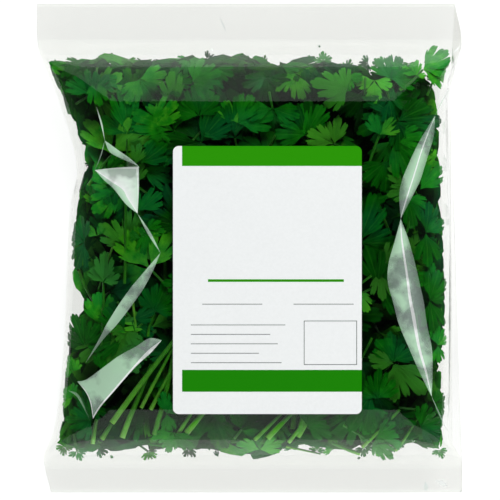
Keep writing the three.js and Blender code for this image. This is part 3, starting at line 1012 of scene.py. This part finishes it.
def leaf_material():
    """Soft green blades with paler veins and undersides, darker or lighter from leaf to leaf, with painted
    shade deep in the pile and painted light at its rim
    """
    material, tree = new_material("parsley_leaf")
    tone, vein, underside, shade = read_marks(tree)
    blotches = noise(tree, 220.0, 4.0)
    blotched = calculate(tree, "MULTIPLY_ADD", calculate(tree, "ADD", blotches, -0.5), 0.7, tone)
    between = [(0.4, (0.0003, 0.072, 0.001, 1)), (0.75, (0.005, 0.145, 0.003, 1))]
    greens = ramp_colour(tree, blotched, (0.0, 0.03, 0.0005, 1), (0.045, 0.26, 0.008, 1), between)
    pale = mix_colours(tree, calculate(tree, "MULTIPLY", underside, 0.55), greens, (0.035, 0.18, 0.015, 1))
    veined = mix_colours(tree, calculate(tree, "MULTIPLY", vein, 0.42), pale, (0.03, 0.21, 0.012, 1))
    cool = carry_over(tree, noise(tree, 32.0, 1.0), 0.47, 0.6)
    bluish = mix_colours(tree, cool, veined, (0.0, 0.004, 0.012, 1), blend_type="ADD")
    # Painted shade and light: the colour is darkened deep in the pile and lightened at its rim
    shaded = mix_colours(tree, 1.0, bluish, shade, blend_type="MULTIPLY")
    relief = calculate(tree, "MULTIPLY_ADD", noise(tree, 900.0, 2.0), 0.35, vein)
    bump = add_node(tree, "ShaderNodeBump", {"Strength": 0.4, "Distance": 0.0003, "Height": relief})
    skin = {
        "Base Color": shaded,
        "Roughness": carry_over(tree, blotches, 0.0, 1.0, 0.28, 0.46),
        "Specular IOR Level": 0.08,
        "Normal": bump.outputs[0],
    }
    blade = add_node(tree, "ShaderNodeBsdfPrincipled", skin)
    glow = add_node(tree, "ShaderNodeBsdfTranslucent", {"Color": (0.02, 0.3, 0.002, 1)})
    add_node(tree, "ShaderNodeOutputMaterial", {"Surface": mix_shaders(tree, 0.08, blade, glow).outputs[0]})
    return material


def stalk_material():
    """Juicy green stalks with fine ribs along them, palest at the cut end of the thick ones, with painted
    shade deep in the pile and painted light at its rim
    """
    material, tree = new_material("parsley_stalk")
    paleness, turn, along, shade = read_marks(tree)
    darkness = calculate(tree, "SUBTRACT", 1.0, paleness)
    darkness = calculate(tree, "ADD", darkness, calculate(tree, "MULTIPLY", along, 0.75))
    between = [(0.3, (0.065, 0.26, 0.015, 1)), (0.65, (0.025, 0.17, 0.006, 1))]
    greens = ramp_colour(tree, darkness, (0.14, 0.37, 0.045, 1), (0.01, 0.11, 0.003, 1), between)
    spots = carry_over(tree, noise(tree, 260.0, 3.0), 0.3, 0.7, 0.75, 1.15)
    # Random spots, times painted shade and light from the depth in the pile and the rim
    spots_with_painted_shade_and_light = calculate(tree, "MULTIPLY", spots, shade)
    ribs = calculate(tree, "SINE", calculate(tree, "MULTIPLY", turn, 56.5))
    bump = add_node(tree, "ShaderNodeBump", {"Strength": 0.35, "Distance": 0.0002, "Height": ribs})
    skin = {
        "Base Color": mix_colours(tree, 1.0, greens, spots_with_painted_shade_and_light, blend_type="MULTIPLY"),
        "Roughness": 0.36,
        "Subsurface Weight": 0.15,
        "Subsurface Scale": 0.002,
        "Normal": bump.outputs[0],
    }
    stalk = add_node(tree, "ShaderNodeBsdfPrincipled", skin)
    add_node(tree, "ShaderNodeOutputMaterial", {"Surface": stalk.outputs[0]})
    return material


parsley_materials = [leaf_material(), stalk_material()]
for layer, sprigs in enumerate(layers):
    stride, rings = (1, 5) if layer >= LAYERS - 2 else (2, 4)  # the two layers at the front are the finest
    for i, sprig in enumerate(sprigs):
        leafage = Leafage(SEED + 100 * layer + i, stride, rings, 0.2)
        leafage.add_sprig(sprig, layer)
        piece = leafage.finish(f"parsley_{layer + 1}_{i + 1}", parsley_materials)
        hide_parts(f"sprig_{layer + 1}_{i + 1}")

# The loose leaves
# More leaves, broken off with a piece of their stalk, which fill every gap between the sprigs out to the
# film. They lie in the same layers.
LOOSE_LEAVES = 42  # in each layer
LOOSE_SIZES = (13, 26)
RIM_SIZES = (11, 18)
LOOSE_CHOICES = 14
RIM_LEAVES = 18  # small ones close to the welds and the side folds, in each layer
RIM_LEAST = 8  # from a weld or a fold to the middle of such a leaf
RIM_MOST = 22
LOOSE_RISE = 0.28
STALK_ROOM = 5  # of a loose stalk's end from the edge of the pile
SMALLEST_LEAF = 6
LOOSE_SHRINK = 0.88
STEM_FAN_HALF = (22, 20)
FILL_SIZE = 30  # of the leaflets that close the holes in the middle of the pile
FILL_TRIES = 40
RAGGED_EDGE = 4  # how far in from the edge of the pile holes may stay open
LOOSE_ROOM = (-6, 1.2)  # how far a loose leaf may reach beyond the edge: few do, so it stays ragged
FILL_INSET = 2.5  # of the closing leaflets' tips from the edge
# Turn, reach and radius of the discs of a leaflet that surely hide what lies behind them
HIDING_DISCS = [(0, 0.45, 0.14), (0, 0.72, 0.09), (-0.35, 0.62, 0.09), (0.35, 0.62, 0.09)]
STEM_FANS = [(-62, -84), (-34, -92), (18, -94)]
loose_random = np.random.default_rng(77)


def loose_place(size, is_front):
    """A place in the pile for a leaf of a size: at the front it leaves the fans of cut stems bare"""
    while True:
        x = loose_random.uniform(-104, 110)
        y = loose_random.uniform(-112, 106)
        reach = 0.75 * size
        around = np.array([(x, y), (x + reach, y), (x - reach, y), (x, y + reach), (x, y - reach)])
        off_fans = (np.abs(np.array(STEM_FANS) - (x, y)) >= STEM_FAN_HALF).any(axis=1)
        on_stems = is_front and not off_fans.all()
        if (rise(around[:, 0], around[:, 1]) > LOOSE_RISE).all() and not on_stems:
            return x, y


def rim_place():
    """A place close to a weld or a side fold"""
    along = loose_random.uniform(0, 1)
    inwards = loose_random.uniform(RIM_LEAST, RIM_MOST)
    side = loose_random.integers(4)
    y = BOTTOM_WELD_Y + 9 + (TOP_WELD_Y - BOTTOM_WELD_Y - 18) * along
    left = float(across(LEFT_FOLD, y))
    right = float(across(RIGHT_FOLD, y))
    if side < 2:
        return (left + inwards, y) if side == 0 else (right - inwards, y)
    x = left + 9 + (right - left - 18) * along
    return (x, TOP_WELD_Y - inwards - 2) if side == 2 else (x, BOTTOM_WELD_Y + inwards)


cell_x, cell_y = np.meshgrid(np.arange(-114.5, 115), np.arange(-131.5, 132))
covered = beyond_pile(cell_x, cell_y) > -RAGGED_EDGE


def cover(leaf):
    """Marks the square millimetres of the pile that a leaf surely hides"""
    for heading, length in leaf.get("leaflets") or leaflets_of(leaf):
        for turn, reach, radius in HIDING_DISCS:
            x, y = step(leaf["hub"], heading + turn, reach * length)
            covered[np.hypot(cell_x - x, cell_y - y) < radius * length] = True


def draw_loose_leaf(hub, heading, size):
    leaf = {"hub": hub, "heading": heading, "size": size}
    leaf["spread"] = math.radians(loose_random.uniform(64, 76))
    leaf["side"] = loose_random.uniform(0.75, 0.95)
    leaf["lean"] = loose_random.uniform(-0.7, 0.7)
    leaf["twist"] = loose_random.uniform(-0.6, 0.6)
    return leaf


def turn_into_pile(hub, size):
    """A leaf at a place, turned and if need be made smaller until it keeps within the pile"""
    room = loose_random.uniform(*LOOSE_ROOM)
    while True:
        for _ in range(10):
            leaf = draw_loose_leaf(hub, loose_random.uniform(0, 2 * math.pi), size)
            if lies_in_pile(leaf, room) or size < SMALLEST_LEAF:
                return leaf
        size *= LOOSE_SHRINK


for sprigs in layers:
    for sprig in sprigs:
        for leaf in sprig["leaves"]:
            cover(fit_in_pile(leaf))
for layer in range(LAYERS):
    leafage = Leafage(900 + layer, 1 if layer >= LAYERS - 2 else 2, 5 if layer == LAYERS - 1 else 4, 0.4)
    for i in range(LOOSE_LEAVES + RIM_LEAVES):
        on_rim = i >= LOOSE_LEAVES
        size = loose_random.uniform(*(RIM_SIZES if on_rim else LOOSE_SIZES))
        if on_rim:
            places = [rim_place() for _ in range(LOOSE_CHOICES)]
        else:
            places = [loose_place(size, layer == LAYERS - 1) for _ in range(LOOSE_CHOICES)]
        hub = max(places, key=lambda place: min(math.dist(place, other) for other in hubs))
        hubs.append(hub)
        leaf = turn_into_pile(hub, size)
        cover(leaf)
        turn = leaf["heading"] + math.pi + loose_random.uniform(-0.4, 0.4)
        end = step(hub, turn, loose_random.uniform(6, 14))
        depth = layer + loose_random.uniform(-0.4, 0.15)
        if beyond_pile(*end) < -STALK_ROOM:
            leafage.add_stalk([end, hub], BRANCH_WIDTH * 0.7, depth, 0.8, 0.25, 6)
        leafage.add_leaf(leaf, depth)
    leafage.finish(f"loose_leaves_{layer + 1}", parsley_materials)

leafage = Leafage(950, 3, 3, 0.3)
while not covered.all():
    rows, columns = np.nonzero(~covered)
    i = loose_random.integers(len(rows))
    bare = cell_x[rows[i], columns[i]], cell_y[rows[i], columns[i]]
    for attempt in range(FILL_TRIES):
        largest = FILL_SIZE - (FILL_SIZE - SMALLEST_LEAF) * attempt / FILL_TRIES
        size = loose_random.uniform(0.8, 1) * largest
        heading = loose_random.uniform(0, 2 * math.pi)
        leaf = draw_loose_leaf(step(bare, heading + math.pi, 0.6 * size), heading, size)
        leaf["leaflets"] = [(heading, size)]
        if lies_in_pile(leaf, -FILL_INSET):
            leafage.add_leaf(leaf, LAYERS / 2 - 0.5)
            cover(leaf)
            break
    covered[rows[i], columns[i]] = True
leafage.finish("inner_leaves", parsley_materials)

# The cut stems
# Bare stems with their leaves stripped or broken off, cut square. They lie in two fans behind the front
# leaves, with their cut ends at the bottom weld.
CUT_STEMS = [  # width, level in the pile, and the points from the cut end on
    (3.3, 5.85, [(-73.2, -93.2), (-61, -76.5), (-48.6, -60.2), (-31, -38)]),
    (2.1, 5.7, [(-57.5, -85), (-51, -72.5), (-44.4, -60.2), (-35, -42)]),
    (3.3, 5.5, [(-67.9, -101.3), (-64, -91), (-59.6, -81), (-52, -62)]),
    (2.4, 5.6, [(-52.5, -86), (-47.4, -76.2), (-38, -58)]),
    (2.5, 5.3, [(-83.9, -105), (-82.2, -94.4), (-79, -80)]),
    (3.0, 5.1, [(-79, -102.4), (-76.4, -98.4), (-73.6, -94)]),
    (2.5, 5.6, [(-38.8, -100.2), (-33, -91), (-22, -74)]),
    (3.5, 5.75, [(-33.6, -98.6), (-27, -90.6), (-15, -75)]),
    (2.3, 5.5, [(2.7, -102.4), (9, -96), (20, -85)]),
    (3.3, 5.7, [(9.6, -101.4), (15.5, -95), (26, -84)]),
    (2.3, 5.5, [(20.8, -104), (26, -97), (34, -85)]),
    (3.0, 5.3, [(25.8, -100.8), (30, -93.5), (36, -82)]),
    (1.3, 5.2, [(19.6, -106.3), (29, -108.4), (38.2, -110.6)]),
    (2.3, 5.2, [(59.4, -110.4), (53.6, -108.6), (44, -104)]),
    (2.3, 5.6, [(60.2, -106.6), (67.6, -99), (80, -86)]),
    (1.9, 5.2, [(78.2, -109), (82.8, -102.6), (90, -90)]),
    (1.5, 5.5, [(-62.6, -24), (-59.5, -48), (-57, -60)]),
    (1.3, 5.4, [(-71.5, 4.6), (-75.5, -7), (-80.5, -22)]),
    (1.2, 5.6, [(76.4, 0.5), (81, -6.2), (90, -12)]),
]

leafage = Leafage(501, 1, 6, 0.2)
for width, level, points in CUT_STEMS:
    leafage.add_stalk(points, width * 0.92, level - 0.5, 0.75, 0.9)
leafage.finish("cut_stems", parsley_materials)

# The front leaves
# The leaves that lie flat against the front of the film, each pressed in the place that it took when the
# bag was filled. Some keep a long stalk.
FRONT_LEAVES = [  # tone, hub, the heading in degrees and the length of each leaflet, and its stalk's points
    (
        0.5, (-65, 60.4), [(147, 17.5), (91, 24.5), (33, 18.5)],
        [(-65, 44.6), (-65.9, 19.3), (-66, -6), (-66.4, -19)],
    ),
    (0.72, (-52.6, 63.2), [(44, 21.5), (-50, 15)], []),
    (0.5, (-60.4, 44.4), [(77, 11.5)], []),
    (0.3, (-58, 45), [(30, 17)], []),
    (0.52, (-58.4, 19.6), [(38, 16), (92, 10)], []),
    (0.45, (-73, 19.6), [(138, 17.5), (178, 12), (95, 13)], []),
    (0.85, (-81, 6.4), [(150, 8), (60, 7)], []),
    (0.55, (-54.8, 9.4), [(-95, 13.5), (-2, 10), (40, 9)], []),
    (
        0.42, (-77.8, -18.4), [(86, 16.5), (135, 11), (18, 9.5)],
        [(-77.5, -32.2), (-78.8, -49.2), (-79.1, -60.8)],
    ),
    (0.36, (-50.4, -33.6), [(64, 17.5), (120, 14), (10, 12)], [(-53, -41), (-54, -47)]),
    (0.5, (-65.4, -43.6), [(-115, 10), (-55, 10.5), (175, 9)], []),
    (0.55, (-79, -64.6), [(42, 17.5), (100, 10)], []),
    (0.9, (-94, -66), [(120, 9.5), (190, 8), (60, 7)], []),
    (0.85, (-94.5, -80), [(150, 9), (210, 8), (95, 8)], []),
    (0.22, (-88, -52), [(110, 18), (160, 14), (50, 15)], []),
    (0.25, (-88, 3), [(100, 14), (165, 11), (-110, 15)], []),
    (0.6, (-40.6, -98), [(-100, 12.5), (-38, 14), (200, 12)], []),
    (0.66, (-44, -88), [(100, 12), (35, 9), (-80, 11)], []),
    (0.8, (69, 60), [(34, 13.5), (84, 13.5), (122, 12)], [(66, 52), (62, 40)]),
    (0.22, (78.6, 67.4), [(-2, 24.5), (-34, 23), (-80, 16), (30, 20)], []),
    (0.3, (72.4, 46), [(-86, 16.5), (-140, 17), (-45, 13)], []),
    (0.5, (85.5, 31), [(176, 17)], []),
    (0.66, (90.8, 31), [(50, 17.5)], []),
    (0.5, (84, 27), [(-74, 17), (-20, 12)], [(85, 10), (79, 2)]),
    (0.3, (94, 8), [(80, 17), (-85, 18), (35, 13)], []),
    (0.36, (76.4, -60.4), [(122, 15), (88, 15.5), (38, 14)], [(81, -56), (88, -52)]),
    (0.3, (76.8, -61.4), [(-43, 23), (-88, 20), (170, 14)], []),
    (0.33, (96, -28), [(70, 18), (-80, 17), (10, 9)], []),
    (0.75, (100.5, -52), [(95, 11), (40, 8), (-85, 10)], []),
    (0.42, (68, -80), [(150, 15), (95, 16), (40, 14)], []),
    (0.6, (30, 60), [(120, 20), (62, 19), (175, 17)], [(38, 50), (47, 40)]),
    (0.72, (-6, 66), [(60, 18), (10, 20), (120, 15)], []),
    (0.4, (-27, 70), [(100, 18), (160, 15), (40, 15)], []),
    (0.68, (52, 84), [(165, 19), (-140, 15), (110, 13)], []),
    (0.55, (-30, 88), [(20, 17), (75, 14), (-35, 14)], []),
    (0.45, (75, 90), [(60, 15), (0, 16), (120, 14)], []),
    (0.5, (-85, 82), [(150, 15), (95, 14), (40, 14)], []),
    (0.35, (30, -94), [(30, 14), (-25, 15), (85, 12)], []),
    (0.6, (68, -100), [(-20, 15), (-75, 11), (35, 12)], []),
    (0.4, (91, -95), [(20, 13), (-40, 14), (80, 13)], []),
    (0.3, (-84, -92), [(175, 15), (-130, 13), (120, 14)], []),
    (0.8, (92.8, 95.4), [(42, 18.7), (12, 17.6), (-16, 16.2)], [(86, 88), (80, 84)]),
    (0.8, (89.5, 92), [(96, 8.5), (142, 9), (0, 5)], []),
    (0.7, (67, -104.5), [(-36, 13), (-72, 8)], [(58, -99), (50, -94)]),
    (0.35, (98.4, -83), [(18, 8.6), (62, 8), (-38, 9)], []),
]

FLAT_ON_FILM = {"lean": 0.1, "twist": 0.1}
leafage = Leafage(502, 1, 5, 0.16)
for tone, hub, leaflets, stalk in FRONT_LEAVES:
    size = max(length for _, length in leaflets)
    leaflets = [(math.radians(heading), length) for heading, length in leaflets]
    leaf = {"hub": hub, "heading": leaflets[0][0], "size": size, "leaflets": leaflets, **FLAT_ON_FILM}
    if stalk:
        leafage.add_stalk([*stalk[::-1], hub], 1.6, LAYERS - 0.8, 0.75, 0.3)
    leafage.add_leaf(leaf, LAYERS - 0.6, tone)
leafage.finish("front_leaves", parsley_materials)

# The crumbs
# Torn scraps of leaf that have slipped down against the bottom weld, and one that stuck at the top. They
# are of the same soft leaf, and lie loose.
CRUMBS = [  # x, y, size and tone
    (-73.3, -113.4, 2.4, 0.6), (-16.8, -112.8, 4.2, 0.3), (4.8, -114.2, 2, 0.5), (60, -113, 2, 0.4),
    (38, 108, 2.2, 0.3),
]

leafage = Leafage(503, 2, 4, 0.3)
for x, y, size, tone in CRUMBS:
    heading = leafage.random.uniform(0, 2 * math.pi)
    leaflets = [(heading, size)]
    leaf = {"hub": (x, y), "heading": heading, "size": size, "leaflets": leaflets, "lean": 0, "twist": 0}
    leafage.add_leaf(leaf, 1, tone)
leafage.finish("crumbs", parsley_materials)

# The label
# White coated paper with a band of green ink across each end, stuck flat on the front of the film. Thin
# ruled lines stand where a packer would write.
label_low, label_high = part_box("label")
LABEL_CORNER = 3.0
LABEL_PAPER = 0.16
LABEL_LIFT = 0.05  # of the paper's underside
LABEL_SWELL = 0.8  # of the film's swells, as a share
BANDS_LEFT = 4.8  # of the bands from the left edge
TOP_BAND = 10.6
LOW_BAND = (11.8, 23.4)  # from the bottom edge
PAST_EDGE = 1  # the bands are printed out over the edge of the paper
RULE = 0.4
label_left, label_bottom = label_low[0] / MM, label_low[1] / MM
label_right, label_top = label_high[0] / MM, label_high[1] / MM
BANDS_ACROSS = (label_left + BANDS_LEFT, label_right + PAST_EDGE)
LEAF_GREEN = (0.025, 0.29, 0.002)
DEEP_GREEN = (0.012, 0.22, 0.002)
GREY_INK = (0.16, 0.17, 0.17)


def frame_bars(x0, x1, y0, y1, line, tint):
    """The four bars of an empty box"""
    return [
        (x0, x1, y0, y0 + line, tint),
        (x0, x1, y1 - line, y1, tint),
        (x0, x0 + line, y0, y1, tint),
        (x1 - line, x1, y0, y1, tint),
    ]


PRINTS = [  # left, right, bottom, top and ink of every printed bar
    (*BANDS_ACROSS, label_top - TOP_BAND, label_top + PAST_EDGE, LEAF_GREEN),
    (*BANDS_ACROSS, label_bottom + LOW_BAND[0], label_bottom + LOW_BAND[1], DEEP_GREEN),
    (-22, 50, -18, -16.6, LEAF_GREEN),
    (-25, 6.8, -30, RULE - 30, GREY_INK),
    (23.4, 55.2, -30, RULE - 30, GREY_INK),
]
for right, y in ((19, -41), (11, -46), (15, -51), (5, -56), (17, -61)):
    PRINTS.append((-31, right, y, y + RULE, GREY_INK))
PRINTS += frame_bars(28.8, 57, -62, -38.5, RULE, GREY_INK)


def label_lines(low, high):
    """Places across the label: close together in its rounded corners"""
    corner = np.linspace(0, LABEL_CORNER, 7)
    middle = np.linspace(low + LABEL_CORNER, high - LABEL_CORNER, 40)[1:-1]
    return np.concatenate([low + corner, middle, high - corner[::-1]])


def make_label():
    low = np.array(label_low) / MM
    high = np.array(label_high) / MM
    x, y = np.meshgrid(label_lines(low[0], high[0]), label_lines(low[1], high[1]))
    centre_x = np.clip(x, low[0] + LABEL_CORNER, high[0] - LABEL_CORNER)
    centre_y = np.clip(y, low[1] + LABEL_CORNER, high[1] - LABEL_CORNER)
    dx = x - centre_x
    dy = y - centre_y
    square = np.maximum(np.abs(dx), np.abs(dy))
    shrink = square / np.maximum(np.hypot(dx, dy), 1e-9)
    x = centre_x + dx * np.where(square > 0, shrink, 1)
    y = centre_y + dy * np.where(square > 0, shrink, 1)
    z = low[2] + LABEL_LIFT + ripple(x, y) * LABEL_SWELL
    sheet = [np.stack([x, y, z + lift], axis=-1).reshape(-1, 3) for lift in (LABEL_PAPER, 0)]
    return new_object("paper_label", np.concatenate(sheet), sheet_faces(*x.shape).tolist(), 40)


def label_material():
    """Coated paper, printed with two green bands and with thin rules"""
    material, tree = new_material("label_paper")
    place = add_node(tree, "ShaderNodeTexCoord").outputs["Object"]
    axes = add_node(tree, "ShaderNodeSeparateXYZ", {0: place}).outputs

    def between(axis, low, high):
        """1 where a coordinate lies between two values"""
        above = calculate(tree, "GREATER_THAN", axes[axis], low)
        return calculate(tree, "MULTIPLY", above, calculate(tree, "LESS_THAN", axes[axis], high))

    fibres = noise(tree, 700.0, 5.0)
    colour = ramp_colour(tree, fibres, (0.868, 0.845, 0.882, 1), (0.94, 0.914, 0.955, 1), [])
    for x0, x1, y0, y1, tint in PRINTS:
        inside = calculate(tree, "MULTIPLY", between("X", x0 * MM, x1 * MM), between("Y", y0 * MM, y1 * MM))
        colour = mix_colours(tree, inside, colour, (*tint, 1))
    bump = add_node(tree, "ShaderNodeBump", {"Strength": 0.15, "Distance": 0.0001, "Height": fibres})
    skin = {"Base Color": colour, "Roughness": 0.5, "Specular IOR Level": 0.1, "Normal": bump.outputs[0]}
    coated = add_node(tree, "ShaderNodeBsdfPrincipled", skin)
    add_node(tree, "ShaderNodeOutputMaterial", {"Surface": coated.outputs[0]})
    return material


label = make_label()
label.data.materials.append(label_material())
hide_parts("label")
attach(label, "root")

# The studio
# A white table under soft light, and a camera straight above the bag. The soft boxes show only in the
# film's slopes.
FRAME_WIDTH = 269.0  # of the picture at the height of the folds
PICTURE_MIDDLE = (0.3, -1.1)
CAMERA_HEIGHT = 1.6  # in metres
LENS_SENSOR = 36.0
TABLE_HALF = 3000

corners = [(x, y, 0) for x, y in ((-1, -1), (1, -1), (1, 1), (-1, 1))]
floor = new_object("floor", np.array(corners) * TABLE_HALF, [(0, 1, 2, 3)])
floor_paint, floor_tree = new_material("white_table")
table_white = {
    "Base Color": (0.2, 0.2, 0.2, 1),
    "Roughness": 0.7,
    "Emission Color": (1, 1, 1, 1),
    "Emission Strength": 0.9,
}
table_top = add_node(floor_tree, "ShaderNodeBsdfPrincipled", table_white)
add_node(floor_tree, "ShaderNodeOutputMaterial", {"Surface": table_top.outputs[0]})
floor.data.materials.append(floor_paint)


def light_the_sky():
    """A dim sky overhead, so that the flat film stays clear, and soft boxes lower down on two sides"""
    world = bpy.data.worlds.new("studio")
    world.use_nodes = True
    tree = world.node_tree
    tree.nodes.clear()
    upwards = add_node(tree, "ShaderNodeTexCoord").outputs["Generated"]
    axes = add_node(tree, "ShaderNodeSeparateXYZ", {0: upwards}).outputs
    box = carry_over(tree, calculate(tree, "ABSOLUTE", axes["Y"]), 0.36, 0.4)
    low = carry_over(tree, axes["Z"], 0.95, 0.2, 0.006, 0.16)
    bright = calculate(tree, "MULTIPLY_ADD", box, 0.5, low)
    sky = add_node(tree, "ShaderNodeBackground", {"Color": (0.84, 1.0, 0.87, 1), "Strength": bright})
    add_node(tree, "ShaderNodeOutputWorld", {"Surface": sky.outputs[0]})
    bpy.context.scene.world = world


def hang_light(name, place, size, watts):
    """A soft area light that points at the bag and doesn't show in the film"""
    data = bpy.data.lights.new(name, "AREA")
    data.size = size
    data.energy = watts
    light = bpy.data.objects.new(name, data)
    light.location = place
    direction = np.array(place) / np.linalg.norm(place)
    light.rotation_euler = (math.acos(direction[2]), 0, math.atan2(direction[1], direction[0]) + math.pi / 2)
    light.visible_glossy = False
    bpy.context.scene.collection.objects.link(light)


light_the_sky()
hang_light("key_light", (0.3, 1.35, 1.05), 0.6, 20.2)
hang_light("fill_light", (0.2, -1.3, 0.95), 0.8, 13.7)

camera_data = bpy.data.cameras.new("camera")
camera = bpy.data.objects.new("camera", camera_data)
camera.location = (PICTURE_MIDDLE[0] * MM, PICTURE_MIDDLE[1] * MM, CAMERA_HEIGHT)
camera_data.sensor_width = LENS_SENSOR
camera_data.lens = LENS_SENSOR * (CAMERA_HEIGHT - FOLD_HEIGHT * MM) / (FRAME_WIDTH * MM)
bpy.context.scene.collection.objects.link(camera)
bpy.context.scene.camera = camera
bpy.context.scene.view_settings.view_transform = "Standard"
